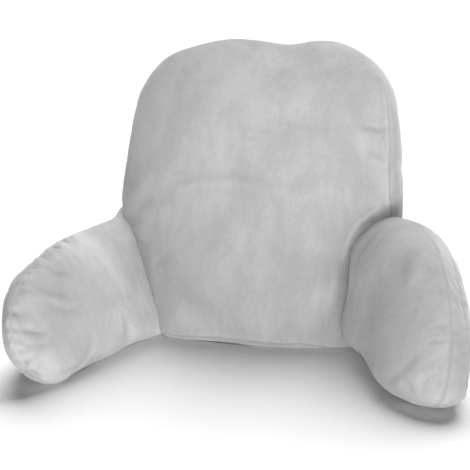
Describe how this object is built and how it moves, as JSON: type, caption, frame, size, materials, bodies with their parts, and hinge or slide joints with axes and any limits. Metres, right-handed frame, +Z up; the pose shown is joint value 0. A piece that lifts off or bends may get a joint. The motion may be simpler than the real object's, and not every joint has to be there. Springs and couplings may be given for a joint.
{
  "type": "backrest pillow with two arms",
  "caption": "Stuffed plush backrest pillow with a leaning back and two splayed arms, standing on its base.",
  "frame": {"origin": "on the floor, at the middle of the bounding box seen from above", "axes": "+X towards the pillow's arm that is on the right in the picture, +Y towards its rear, +Z up"},
  "size_m": [0.76, 0.5396, 0.5019],
  "materials": {
    "plush": "short grey velvet plush, matt, with soft nap"
  },
  "bodies": {
    "root": {"back": "plush", "arm_left": "plush", "arm_right": "plush"}
  },
  "joints": []
}
